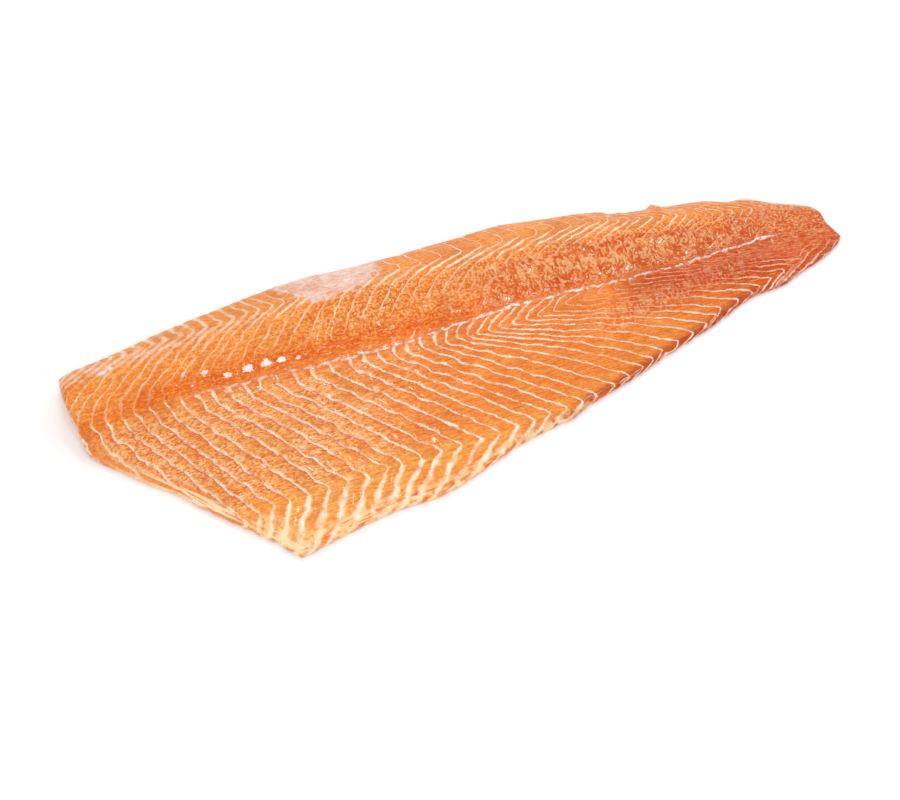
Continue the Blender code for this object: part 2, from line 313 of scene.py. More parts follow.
def smooth_path(points, count):
    """A curve of count + 1 even steps through the points."""
    points = np.asarray(points, float)
    lengths = np.r_[0, np.cumsum(np.hypot(*np.diff(points, axis=0).T))]
    places = np.linspace(0, lengths[-1], count + 1)
    columns = [np.repeat(points[:, axis:axis + 1], count + 1, axis=1) for axis in (0, 1)]
    return np.column_stack([hermite(places, lengths, values) for values in columns])


def fade(value, low, high):
    """0 at low, 1 at high, eased between."""
    t = np.clip((value - low) / (high - low), 0, 1)
    return t * t * (3 - 2 * t)


def span(value, start, full, last, end):
    """1 from full to last, eased down to 0 at start and end."""
    return fade(value, start, full) * (1 - fade(value, last, end))


def swell(value, middle, half):
    """1 at the middle, falling away softly on both sides."""
    return np.exp(-((value - middle) / half) ** 2)


def ripple(x, y, length, seed):
    """Smooth noise from -1 to 1 with bumps about the given length apart."""
    draw = np.random.default_rng(SEED + seed)
    total = np.zeros_like(x)
    waves = 14
    for _ in range(waves):
        turn = draw.uniform(0, 2 * math.pi)
        pace = 2 * math.pi / (length * draw.uniform(0.75, 1.5))
        shift = draw.uniform(0, 2 * math.pi)
        total += np.sin(pace * (x * math.cos(turn) + y * math.sin(turn)) + shift)
    return total / math.sqrt(waves * 2)


def wall_places():
    """Midline crossings of the walls between segments, from the head to the tail."""
    places = [float(FIRST_WALL)]
    while places[-1] < LAST_WALL:
        places.append(places[-1] + float(along(WALL_SPACING, places[-1])))
    return np.array(places)


def wall_x(crossing, y):
    """Where a wall that crosses the midline at x = crossing lies at the height y."""
    def ramp(reach, rounding):
        return 0.5 * (reach + np.sqrt(reach * reach + rounding ** 2))

    x = np.array(crossing, float)
    lean_before = 0.0
    for name, starts, leans in ZIGZAG:
        start = np.interp(crossing, STATIONS, starts)
        lean = np.interp(crossing, STATIONS, leans)
        rounding = TIP_ROUNDING if name == "outer belly" else TURN_ROUNDING
        x = x + (lean - lean_before) * (ramp(y - start, rounding) - ramp(-start, rounding))
        lean_before = lean
    return x


def crossing_at(x, y):
    """Midline crossing of the wall through each point, found by halving."""
    low = np.full_like(x, FIRST_WALL)
    high = np.full_like(x, LAST_WALL)
    for _ in range(HALVINGS):
        middle = (low + high) / 2
        beyond = wall_x(middle, y) > x
        high = np.where(beyond, middle, high)
        low = np.where(beyond, low, middle)
    return low


def inward(ring, inset):
    """The closed ring moved inwards by the inset, with its small spikes rounded."""
    ahead = sum(np.roll(ring, -step, axis=0) - np.roll(ring, step, axis=0)
                for step in range(1, SMOOTH_STEPS + 1))
    normal = np.column_stack([-ahead[:, 1], ahead[:, 0]])
    normal /= np.linalg.norm(normal, axis=1, keepdims=True)
    return ring + normal * inset


def distance_to(line, points, closed=False):
    """Shortest distance from each point to a polyline."""
    starts = np.asarray(line, float)
    ends = np.roll(starts, -1, axis=0)
    if not closed:
        starts, ends = starts[:-1], ends[:-1]
    best = np.full(len(points), np.inf)
    for start, end in zip(starts, ends):
        run = end - start
        t = np.clip(((points - start) @ run) / (run @ run), 0, 1)
        gap = points - start - t[:, None] * run
        best = np.minimum(best, np.hypot(gap[:, 0], gap[:, 1]))
    return best


def outline():
    """Closed ragged outline, counter-clockwise, from the head end's belly corner."""
    belly = smooth_path(BELLY_EDGE, GRID_ALONG)
    tail = smooth_path(TAIL_END, GRID_ACROSS)
    back = smooth_path(BACK_EDGE, GRID_ALONG)
    head = smooth_path(HEAD_CUT, GRID_ACROSS)
    ring = np.vstack([belly[:-1], tail[:-1], back[::-1][:-1], head[::-1][:-1]])
    x, y = ring.T
    wave = ripple(x, y, 9, 1) * 0.6 + ripple(x, y, 3.5, 2) * 0.4
    belly_side = fade(-y, 10, 30) * 0.6 + 0.4
    return inward(ring, RAGGED_EDGE * (1 + wave * belly_side)[:, None])


def patch(ring):
    """Grid points between the four edges of the ring, rows along the fish."""
    a, b = GRID_ALONG, GRID_ALONG + GRID_ACROSS
    c = b + GRID_ALONG
    closed = np.vstack([ring, ring[:1]])
    belly, tail = closed[:a + 1], closed[a:b + 1]
    back, head = closed[b:c + 1][::-1], closed[c:][::-1]
    s = np.linspace(0, 1, GRID_ALONG + 1)[:, None, None]
    t = np.linspace(0, 1, GRID_ACROSS + 1)[None, :, None]
    corners = ((1 - s) * (1 - t) * belly[0] + s * (1 - t) * belly[-1]
               + (1 - s) * t * back[0] + s * t * back[-1])
    return ((1 - t) * belly[:, None] + t * back[:, None]
            + (1 - s) * head[None] + s * tail[None] - corners)


def flesh_height(points, ring):
    """Height of the flesh over the table at each point, without the fine bands."""
    x, y = points.T
    belly_side = sorted(HEAD_CUT[:HEAD_BELLY_END + 1] + BELLY_EDGE)
    reach = np.where(y >= 0, along(BACK_EDGE, x), -along(belly_side, x))
    share = np.clip(np.abs(y) / reach, 0, 1)
    midline = along(MIDLINE_HEIGHT, x)
    ridge = along(RIDGE_HEIGHT, x)
    back_edge = along(BACK_EDGE_HEIGHT, x)
    belly_edge = along(BELLY_EDGE_HEIGHT, x)
    before_ridge = np.array(BACK_ACROSS)[:, None] < RIDGE_SHARE
    low = np.where(before_ridge, midline, back_edge)
    back = low + np.array(BACK_RISE)[:, None] * (ridge - low)
    belly = belly_edge + np.array(BELLY_RISE)[:, None] * (midline - belly_edge)
    z = np.where(y >= 0, hermite(share, BACK_ACROSS, back), hermite(share, BELLY_ACROSS, belly))
    z -= GROOVE_DEPTH * swell(y, GROOVE_Y, GROOVE_HALF_WIDTH) * z / midline

    edge_gap = distance_to(ring[::4], points, closed=True)
    rim = np.clip(edge_gap / RIM_WIDTH, 0, 1)
    z *= 1 - RIM_DROP * (1 - rim) ** 2
    to_cut = np.clip(distance_to(HEAD_CUT[:HEAD_BEVEL_END + 1], points) / BEVEL_WIDTH, 0, 1)
    z -= (z - BEVEL_HEIGHT) * (1 - to_cut) ** BEVEL_CURVE
    for gash_x, gash_y, length in GASHES:
        reach = ((x - gash_x) / (length / 2)) ** 2 + ((y - gash_y) / GASH_HALF_WIDTH) ** 2
        z -= GASH_DEPTH * np.clip(1 - reach, 0, 1)
    return z, rim, edge_gap


class Zones:
    """What each point of the flesh is like: its segment, walls, and kind of flesh."""

    def __init__(self, x, y, depth):
        wavy_x = x + ripple(x, y, 16, 3) * 1.1 + ripple(x, y, 7, 4) * 0.45 + depth * 1.3
        wavy_y = y + ripple(x, y, 18, 5) * 0.7
        self.x, self.y = x, y
        self.crossing = crossing_at(wavy_x, wavy_y)
        places = wall_places()
        self.segment = np.interp(self.crossing, places, np.arange(len(places)))
        slope = np.hypot(crossing_at(x + 1, y) - crossing_at(x - 1, y),
                         crossing_at(x, y + 1) - crossing_at(x, y - 1)) / 2
        self.band = along(WALL_SPACING, self.crossing) / np.clip(slope, 0.2, 20)
        self.midline = y - along(MIDLINE_STRIP, x)
        self.turn = y - np.interp(self.crossing, STATIONS, BELLY_TURN)
        self.back_turn = y - np.interp(self.crossing, STATIONS, BACK_TURN)
        self.ridge = y - np.interp(self.crossing, STATIONS, RIDGE_TURN)

    def lower_belly(self):
        return fade(-self.turn, -0.5, 2.5)

    def back_strip(self):
        return fade(self.ridge, -1, 5)

    def groove(self):
        x, y = self.x, self.y
        middle = np.interp(x, [0, 60, 130, 200, 330, 480], [-9, 2, 2, -1, 1, 3])
        half = np.interp(x, [0, 60, 200, 330, 480, 546], [13, 10, 10, 7, 5, 3])
        return swell(y, middle, half) * (0.5 + 0.5 * fade(x, 15, 60)) * (1 - fade(x, 470, 520))

    def scraped(self):
        """Crinkled wet flesh where the knife ran along the spine."""
        x, y = self.x, self.y
        wave = ripple(x, y, 30, 6) * 4
        low = fade(y, -5 + wave * 0.3, 1 + wave * 0.3)
        high = 1 - fade(y, np.interp(x, [250, 350, 470], [22, 26, 14]) + wave,
                        np.interp(x, [250, 350, 470], [32, 31, 19]) + wave)
        return low * high * span(x, 225 + wave * 3, 320 + wave * 3, 480, 505)

    def rippled(self):
        """Wet wrinkled flesh below the midline near the tail, and at the tail's end."""
        x, y = self.x, self.y
        middle = np.interp(x, [330, 400, 470], [-40, -28, -14])
        low = swell(y, middle, 9) * span(x, 320, 370, 455, 500)
        end = fade(x, 470, 500) * fade(y, -26, -14) * 0.4
        return np.maximum(low, end)

    def speckled(self):
        """Fine glistening bumps of the loin."""
        x, y = self.x, self.y
        return (fade(y, -9, 2) * (0.2 + 0.8 * fade(x, 100, 220))
                * (1 - 0.85 * self.back_strip()) * (1 - 0.85 * self.scraped()))

    def tail(self):
        low = swell(self.y, -16, 20)
        end = fade(self.x, 430, 480)
        return np.clip(fade(self.x, 330, 450) * low * 0.9 + end * (0.45 + 0.3 * low), 0, 1)

    def shingled(self):
        """Belly near the head, where the bands overlap like tiles and glisten."""
        return (1 - fade(self.x, 110, 270)) * fade(-self.y, 6, 20) * fade(self.turn, -4, 14)

    def bevel(self):
        points = np.column_stack([self.x, self.y])
        wave = ripple(self.x, self.y, 12, 7) * 2
        return 1 - fade(distance_to(HEAD_CUT[:HEAD_BEVEL_END + 1], points) + wave, 4, 9)

    def flank(self, gap):
        """Belly edge, where the fat of the walls runs together."""
        x = self.x
        reach = np.interp(x, [100, 140, 250, 400], [18, 12, 7, 3])
        near = 1 - fade(gap, 0.25 * reach, reach)
        return near * self.lower_belly() * span(x, 70, 100, 260, 380)

    def edge_stripes(self, gap):
        """Torn layers that run along the belly edge."""
        x, y = self.x, self.y
        wave = ripple(x, y, 40, 12) * 1.6
        reach = np.interp(x, [110, 150, 215, 260, 330, 450], [3, 8, 7, 4, 3, 2]) + wave
        return ((1 - fade(gap, reach - 1, reach + 1)) * fade(-y, 20, 30) * fade(x, 112, 130)
                * (1 - 0.6 * fade(x, 330, 400)))

    def membrane(self):
        inside = (self.x > 144) & (self.x < 230) & (self.y > along(MEMBRANE_BORDER, self.x))
        gap = distance_to(MEMBRANE_BORDER, np.column_stack([self.x, self.y]))
        return np.where(inside, gap, -gap)

    def wall_half(self):
        """Half the width of the pale walls."""
        x, y = self.x, self.y
        broad = np.interp(x, [100, 160, 260, 380, 460], [1.2, 1.35, 1.0, 0.3, 0.05])
        broad = broad * self.lower_belly() * (0.6 + 0.4 * fade(-self.turn, 4, 25))
        strip = self.back_strip() * (1 - fade(self.back_turn, -3, 2))
        strip *= np.interp(x, [60, 200, 400, 500], [0.3, 0.55, 0.45, 0.1])
        thin = np.interp(x, [0, 150, 240, 330, 450, 546], [0.62, 0.7, 0.58, 0.46, 0.48, 0.55])
        thin = thin - 0.15 * fade(self.y, 4, 16)
        node = 0.3 * swell(self.midline, -4, 3) * fade(x, 60, 110)
        node *= 1 - 0.8 * fade(x, 300, 350)
        fat = 1.3 * fade(y, 22, 34) * (1 - fade(x, 60, 150)) * (1 - self.bevel())
        crowd = 0.25 * fade(x, 290, 350) * (1 - fade(-self.midline, 15, 35)) * (y < 5)
        return thin + broad + strip + node + fat - crowd

    def wall_show(self):
        """How plainly the walls show."""
        x, y = self.x, self.y
        show = 1 - 0.9 * self.scraped()
        spine = fade(self.midline, -2, 1) * (1 - fade(y, np.interp(x, [60, 260], [7, 12]),
                                                      np.interp(x, [60, 260], [13, 25])))
        show *= 1 - np.interp(x, [30, 90], [0.5, 0.96]) * spine
        show *= 1 - 0.15 * fade(y, 8, 16) * (1 - self.back_strip())
        show *= 1 - 0.35 * (1 - fade(x, 120, 190)) * fade(y, -10, 0)
        near_spine = 1 - fade(-self.midline, 8, np.interp(x, [280, 400], [14, 34]))
        show *= 1 - 0.5 * near_spine * fade(x, 290, 350) * (1 - fade(y, 5, 15))
        show *= 1 - 0.25 * self.bevel() * fade(y, -95, -55)
        show *= 1 - 0.7 * self.rippled()
        show *= 1 - 0.2 * fade(x, 430, 500) * fade(y, -42, -26)
        show *= 1 - 0.2 * fade(x, 480, 530)
        return show * np.clip(self.band / 3.0, 0.2, 1)

    # Spots of painted highlight in the groove and fat blobs by the head end and the back edge:
    # how far inside the nearest spot each point lies.
    def wet(self):
        spots = np.full_like(self.x, -5.0)
        for spot_x, spot_y, size in GLINT_AND_FAT_SPOTS:
            gap = np.hypot((self.x - spot_x) / 1.25, self.y - spot_y)
            spots = np.maximum(spots, size - gap)
        return spots

    def gash(self):
        deep = np.zeros_like(self.x)
        for gash_x, gash_y, length in GASHES:
            reach = (((self.x - gash_x) / (length / 2)) ** 2
                     + ((self.y - gash_y) / GASH_HALF_WIDTH) ** 2)
            deep = np.maximum(deep, 1 - fade(reach, 0.5, 1.6))
        return deep

    def gloss(self):
        """How wet the surface is."""
        wet = 0.3 + 0.7 * self.scraped() + 0.15 * self.groove() + 0.7 * self.rippled()
        wet += 0.2 * self.shingled() + 0.35 * fade(self.x, 440, 500) + 0.5 * self.gash()
        return np.clip(wet, 0, 1)

    def midline_show(self):
        """How plainly the membrane on the midline shows."""
        return np.interp(self.x, [60, 110, 240, 320, 380, 460, 490, 505],
                         [0, 0.45, 0.7, 0.95, 0.6, 0.9, 1, 0])

    def tint(self, look, gap, face):
        """Colour of the flesh at each point, before grain and walls; it holds a painted sheen on
        the scraped flesh and painted shade at the belly edge near the tail.
        """
        x, y = self.x, self.y
        strip, scraped = self.back_strip(), self.scraped()
        drift = ripple(x, y, 50, 13) * 12
        flank = fade(-self.turn, -18, 4) * (1 - fade(x, 200, 420)) * 0.9
        # Painted sheen: a paler band across the middle of the scraped flesh.
        sheen = swell(y, 12, 6) * span(x, 290, 330, 430, 475)
        red = swell(y, -16, 14) * span(x, 350, 410, 470, 510)
        gash_places = [place[:2] for place in GASHES]
        line = swell(y - along(gash_places, x), 0.8, 1.7) * span(x, 320, 365, 468, 485)
        edge = (1 - fade(gap, 0, 4)) * (1 - fade(x, 300, 480))
        # Redder belly edge near the tail: torn layers, with painted shade of the rim.
        torn = (1 - fade(gap, 1, 7)) * fade(x, 230, 310) * fade(-y, 8, 20)
        layers = [
            (look.head_colour, 1 - fade(x + drift, 130, 250)),
            (look.flank_colour, flank),
            (look.loin_colour, fade(y, -12, 0)),
            (look.back_colour, strip),
            (look.loin_colour, strip * fade(x, 330, 430) * 0.6),
            (look.scraped_colour, scraped),
            # Painted sheen across the middle of the scraped flesh.
            (look.head_colour, scraped * sheen * 0.8),
            (look.groove_colour, self.groove() * 0.9),
            (look.tail_colour, self.tail() * (1 - strip * 0.7)),
            (RED_TAIL, red * 0.85),
            (look.groove_colour, np.maximum(self.gash(), line * 0.85)),
            (look.rim_colour, self.bevel() * 0.8),
            (look.rim_colour, edge * 0.6),
            (TORN_AND_SHADED_EDGE, torn * 0.95),
            (look.membrane_colour, face * 0.45),
        ]
        colour = np.repeat(np.array([look.belly_colour]), len(x), axis=0)
        for towards, share in layers:
            colour = colour + (np.array(towards) - colour) * share[:, None]
        return colour * (0.91 + 0.05 * ripple(x, y, 45, 8) + 0.03 * ripple(x, y, 14, 9))[:, None]


def deselect_all():
    if bpy.context.object and bpy.context.object.mode != "OBJECT":
        bpy.ops.object.mode_set(mode="OBJECT")
    bpy.ops.object.select_all(action="DESELECT")


def coordinates(mesh):
    values = np.empty(len(mesh.vertices) * 3)
    mesh.vertices.foreach_get("co", values)
    return values.reshape(-1, 3)


def set_coordinates(mesh, values):
    mesh.vertices.foreach_set("co", np.ascontiguousarray(values, np.float32).ravel())
    mesh.update()


def set_attribute(mesh, name, values):
    """Stores one number, or one colour, for each vertex."""
    values = np.asarray(values, np.float32)
    if values.ndim == 1:
        layer = mesh.attributes.new(name, "FLOAT", "POINT")
        layer.data.foreach_set("value", values)
    else:
        layer = mesh.attributes.new(name, "FLOAT_COLOR", "POINT")
        filled = np.column_stack([values, np.ones(len(values))]).astype(np.float32)
        layer.data.foreach_set("color", filled.ravel())


def edge_ends(mesh):
    ends = np.empty(len(mesh.edges) * 2, int)
    mesh.edges.foreach_get("vertices", ends)
    return np.sort(ends.reshape(-1, 2), axis=1)


def select_ring(mesh, ring):
    """Selects the vertices of a closed ring and the edges between neighbours."""
    for part in (mesh.vertices, mesh.edges, mesh.polygons):
        part.foreach_set("select", np.zeros(len(part), bool))
    pairs = np.sort(np.column_stack([ring, np.roll(ring, -1)]), axis=1)
    count = len(mesh.vertices)
    wanted = np.isin(edge_ends(mesh) @ [count, 1], pairs @ [count, 1])
    mesh.edges.foreach_set("select", wanted)
    chosen = np.zeros(count, bool)
    chosen[ring] = True
    mesh.vertices.foreach_set("select", chosen)


def extrude_ring(mesh, ring):
    """Extrudes the selected open ring in place and returns the new ring in its order."""
    before = len(mesh.vertices)
    bpy.ops.object.mode_set(mode="EDIT")
    bpy.ops.mesh.extrude_edges_move()
    bpy.ops.object.mode_set(mode="OBJECT")
    ends = edge_ends(mesh)
    rungs = ends[(ends[:, 0] < before) & (ends[:, 1] >= before)]
    child = np.empty(before, int)
    child[rungs[:, 0]] = rungs[:, 1]
    return child[ring]


class Graph:
    """Adds and joins nodes of one material or node group in few words."""

    def __init__(self, tree):
        self.tree = tree

    def add(self, kind, inputs=(), **settings):
        node = self.tree.nodes.new(kind)
        for name, value in settings.items():
            setattr(node, name, value)
        self.feed_all(node.inputs, inputs)
        return node

    def feed(self, socket, value):
        if isinstance(value, bpy.types.NodeSocket):
            self.tree.links.new(value, socket)
        else:
            socket.default_value = value

    def feed_all(self, sockets, values):
        for place, value in dict(values).items():
            self.feed(sockets[place], value)

    def use(self, group, inputs):
        return self.add("ShaderNodeGroup", inputs, node_tree=group).outputs

    def math(self, operation, *values):
        return self.add("ShaderNodeMath", enumerate(values), operation=operation).outputs[0]

    def minus(self, first, second):
        return self.math("SUBTRACT", first, second)

    def apart(self, first, second):
        return self.math("ABSOLUTE", self.minus(first, second))

    def times(self, *values):
        result = values[0]
        for value in values[1:]:
            result = self.math("MULTIPLY", result, value)
        return result

    def plus(self, *values):
        result = values[0]
        for value in values[1:]:
            result = self.math("ADD", result, value)
        return result

    def ramp(self, value, low, high, start=0.0, end=1.0):
        """Eases from start at low to end at high."""
        node = self.add("ShaderNodeMapRange",
                        {"Value": value, "From Min": low, "From Max": high,
                         "To Min": start, "To Max": end}, interpolation_type="SMOOTHSTEP")
        return node.outputs[0]

    def mix(self, share, first, second, blend="MIX"):
        node = self.add("ShaderNodeMix", {0: share, 6: first, 7: second}, data_type="RGBA",
                        blend_type=blend)
        return node.outputs[2]

    def number(self, name):
        node = self.add("ShaderNodeAttribute", attribute_name=name)
        return node.outputs["Fac"]

    def colour(self, name):
        node = self.add("ShaderNodeAttribute", attribute_name=name)
        return node.outputs["Color"]

    def noise(self, vector, scale, detail=3.0, roughness=0.55, distortion=0.0):
        node = self.add("ShaderNodeTexNoise",
                        {"Vector": vector, "Scale": scale, "Detail": detail,
                         "Roughness": roughness, "Distortion": distortion})
        return node.outputs["Fac"]

    def stretched(self, vector, x, y, z, shift=None):
        scaled = self.add("ShaderNodeVectorMath", {0: vector, 1: (x, y, z)},
                          operation="MULTIPLY").outputs[0]
        if shift is None:
            return scaled
        moved = self.add("ShaderNodeCombineXYZ", {"X": shift, "Y": shift}).outputs[0]
        return self.add("ShaderNodeVectorMath", {0: scaled, 1: moved},
                        operation="ADD").outputs[0]


def new_group(name, inputs, outputs):
    """An empty shader node group with named sockets, and its two end nodes."""
    group = bpy.data.node_groups.new(name, "ShaderNodeTree")
    for way, labels in (("INPUT", inputs), ("OUTPUT", outputs)):
        for label in labels:
            kind = "NodeSocketVector" if label == "Vector" else "NodeSocketFloat"
            group.interface.new_socket(label, in_out=way, socket_type=kind)
    graph = Graph(group)
    return group, graph, graph.add("NodeGroupInput"), graph.add("NodeGroupOutput")


def walls_group():
    """Pale walls, their shadow and a tone for each segment, from the segment number."""
    group, g, given, result = new_group(
        "Segment walls", ["Segment", "Band", "Half Width", "Vector"],
        ["Wall", "Core", "Shadow", "Lee", "Tone", "Share"])
    vector, band = given.outputs["Vector"], given.outputs["Band"]
    wobble = g.minus(g.noise(vector, 0.24, 3.0, 0.6), 0.5)
    uneven = g.math("DIVIDE", g.times(wobble, 1.9), band)
    segment = g.plus(given.outputs["Segment"], uneven)
    share = g.math("FRACT", segment)
    near = g.minus(0.5, g.apart(share, 0.5))
    ragged = g.times(g.minus(g.noise(vector, 0.8, 4.0, 0.65), 0.5), 1.8)
    gap = g.math("MAXIMUM", g.plus(g.times(near, band), ragged), 0.0)
    half = g.times(given.outputs["Half Width"],
                   g.ramp(g.noise(vector, 0.22, 3.0), 0.3, 0.7, 0.7, 1.35))
    faint = g.ramp(g.noise(vector, 0.11, 3.0, 0.6), 0.34, 0.56, 0.35, 1.0)
    wall = g.times(g.ramp(gap, g.times(half, 0.25), g.times(half, 1.7), 1.0, 0.0), faint)
    core = g.times(g.ramp(gap, 0.0, g.times(half, 0.8), 1.0, 0.0),
                   g.ramp(g.noise(vector, 0.4, 2.0), 0.5, 0.62))
    # Painted shadow and painted lee shade on the headward side of each wall.
    before = g.times(g.minus(1.0, share), band)
    shadow = g.ramp(before, half, g.plus(half, 1.2), 1.0, 0.0)
    lee = g.ramp(before, half, g.plus(half, 4.5), 1.0, 0.0)
    tone = g.add("ShaderNodeTexWhiteNoise", {"W": g.math("FLOOR", segment)},
                 noise_dimensions="1D").outputs["Value"]
    g.feed_all(result.inputs, {"Wall": wall, "Core": core, "Shadow": shadow, "Lee": lee,
                               "Tone": tone, "Share": share})
    return group


def grain_group():
    """Fibres along the fish, short curls, fine grain and the wrinkles of wet flesh."""
    group, g, given, result = new_group(
        "Flesh grain", ["Vector", "Shift"],
        ["Fibres", "Curls", "Grain", "Mottle", "Wrinkles"])
    vector = given.outputs["Vector"]
    shift = g.times(given.outputs["Shift"], 37.0)
    fibres = g.noise(g.stretched(vector, 0.11, 1.05, 0.6, shift), 1.0, 4.0, 0.62, 0.5)
    curls = g.noise(g.stretched(vector, 0.27, 0.8, 0.5, shift), 1.0, 2.5, 0.6, 1.4)
    grain = g.noise(vector, 0.55, 3.0, 0.65)
    mottle = g.noise(vector, 0.09, 4.0, 0.55)
    wrinkles = g.noise(g.stretched(vector, 0.25, 0.15, 0.3), 1.0, 3.0, 0.5, 1.6)
    g.feed_all(result.inputs, {"Fibres": fibres, "Curls": curls, "Grain": grain,
                               "Mottle": mottle, "Wrinkles": wrinkles})
    return group


def new_material(name):
    material = bpy.data.materials.new(name)
    material.use_nodes = True
    shader = material.node_tree.nodes["Principled BSDF"]
    return material, Graph(material.node_tree), shader


def millimetres(g):
    """Place on the fillet, in millimetres from the middle of the part."""
    place = g.add("ShaderNodeTexCoord").outputs["Object"]
    return g.stretched(place, 1 / MM, 1 / MM, 1 / MM)


def bumped(g, height):
    """Normal of a relief whose height is in millimetres."""
    return g.add("ShaderNodeBump",
                 {"Strength": 1.0, "Distance": MM, "Height": height}).outputs[0]


def lit(g, colour, light):
    """Makes the flesh lighter and paler, or darker and redder."""
    light = g.math("MINIMUM", g.math("MAXIMUM", light, 0.55), 1.75)
    tint = g.add("ShaderNodeCombineXYZ", {"X": g.math("POWER", light, 0.25), "Y": light,
                                          "Z": g.math("POWER", light, 1.7)}).outputs[0]
    return g.mix(1.0, colour, tint, "MULTIPLY")


def flesh_light(g, walls, grain):
    """Light of the fibres, the fine bumps (partly painted glints on the loin) and the curls, and
    the painted shade in the lee of each wall.
    """
    shingle, speckled = g.number("shingle"), g.number("speckled")
    # Fine grain: tone, and on the loin partly painted glints.
    bumps = g.minus(g.ramp(grain["Grain"], 0.36, 0.64, 0.66, 1.36), 1.0)
    light = g.times(g.ramp(walls["Tone"], 0.0, 1.0, 0.95, 1.07),
                    g.ramp(grain["Fibres"], 0.3, 0.7, 0.66, 1.32),
                    g.plus(1.0, g.times(bumps, g.plus(speckled, 0.4))),
                    g.ramp(grain["Mottle"], 0.3, 0.7, 0.92, 1.1))
    curls = g.minus(g.ramp(grain["Curls"], 0.38, 0.58, 0.6, 1.3), 1.0)
    light = g.times(light, g.plus(1.0, g.times(curls, g.plus(shingle, 0.12))))
    # Painted shade in the lee of each wall.
    depth = g.plus(g.times(shingle, 0.22), g.times(speckled, 0.14), 0.08)
    lee = g.times(walls["Lee"], depth, g.number("wall_show"))
    return g.times(light, g.minus(1.06, lee))


def crinkled(g, colour, grain, wrinkled):
    """Painted shade in the creases and low parts, painted highlights on the raised parts and
    painted glints along the thin crests of the wrinkles of wet flesh.
    """
    wrinkles = grain["Wrinkles"]
    painted_furrow_shade = g.ramp(g.apart(wrinkles, 0.46), 0.0, 0.035, 1.0, 0.0)
    painted_hollow_shade = g.ramp(wrinkles, 0.36, 0.49, 0.95, 0.0)
    deep = g.math("MAXIMUM", g.times(painted_furrow_shade, 0.6), painted_hollow_shade)
    colour = g.mix(g.times(deep, wrinkled), colour, PAINTED_SHADE)
    highlight_tops = g.ramp(wrinkles, 0.5, 0.64)
    colour = g.mix(g.times(highlight_tops, wrinkled, 0.45), colour, WRINKLE_PAINTED_HIGHLIGHT)
    crest = g.ramp(g.apart(wrinkles, 0.54), 0.0, 0.03, 1.0, 0.0)
    broken = g.ramp(grain["Grain"], 0.4, 0.56)
    return g.mix(g.times(crest, wrinkled, broken), colour, WRINKLE_PAINTED_GLINT)


def glistening(g, colour, vector, grain):
    """Painted sheen on the curls and painted highlights on the loin's fine bumps, then the
    painted shade and painted glints of the groove's glitter.
    """
    speckled, groove = g.number("speckled"), g.number("groove")
    highlight_tops = g.ramp(grain["Curls"], 0.46, 0.62)
    sheen = g.ramp(g.noise(vector, 0.045, 3.0), 0.42, 0.6, 0.1, 0.6)
    colour = g.mix(g.times(highlight_tops, g.number("shingle"), sheen), colour, CURL_PAINTED_SHEEN)
    # Painted highlights on the loin's fine bumps.
    highlight_tops = g.ramp(grain["Grain"], 0.52, 0.62)
    colour = g.mix(g.times(highlight_tops, speckled, 0.6, g.minus(1.0, groove)), colour, PEACH)
    # The groove's glitter: painted shade in its low spots, painted glints on its high ones.
    glitter = g.noise(g.stretched(vector, 0.4, 0.7, 0.7), 1.0, 3.0, 0.7, 0.8)
    painted_hollow_shade = g.ramp(glitter, 0.36, 0.5, 0.75, 0.0)
    colour = g.mix(g.times(groove, painted_hollow_shade), colour, GROOVE_PAINTED_SHADE)
    return g.mix(g.times(groove, g.ramp(glitter, 0.56, 0.64), 0.8), colour, GROOVE_GLINT)


def walled(g, colour, walls, grain, cream):
    """Painted shadow beside each wall, the dark streaks and painted glints of the tail, then the
    walls themselves.
    """
    shingle, speckled = g.number("shingle"), g.number("speckled")
    tail, show = g.number("tail"), g.number("wall_show")
    # Painted shadow on the headward side of each wall.
    shade = g.times(g.plus(g.times(shingle, 0.6), g.times(speckled, 0.25), 0.18), show)
    shade = g.times(walls["Shadow"], g.math("MAXIMUM", shade, g.times(tail, 0.55)))
    colour = g.mix(shade, colour, PAINTED_SHADE)
    streak = g.ramp(grain["Fibres"], 0.36, 0.5, 0.6, 0.0)
    colour = g.mix(g.times(streak, tail), colour, TAIL_STREAK)
    # Painted glints along the tail's fibres.
    streak = g.ramp(grain["Fibres"], 0.54, 0.64, 0.0, 0.4)
    colour = g.mix(g.times(streak, tail), colour, TAIL_GLINT)
    wall = g.times(walls["Wall"], show)
    fat = g.mix(g.times(speckled, 0.4), cream, PEACH)
    colour = g.mix(g.times(wall, 0.9), colour, fat)
    core = g.times(walls["Core"], show, g.minus(0.8, g.times(speckled, 0.6)))
    return g.mix(core, colour, WHITE_FAT), wall


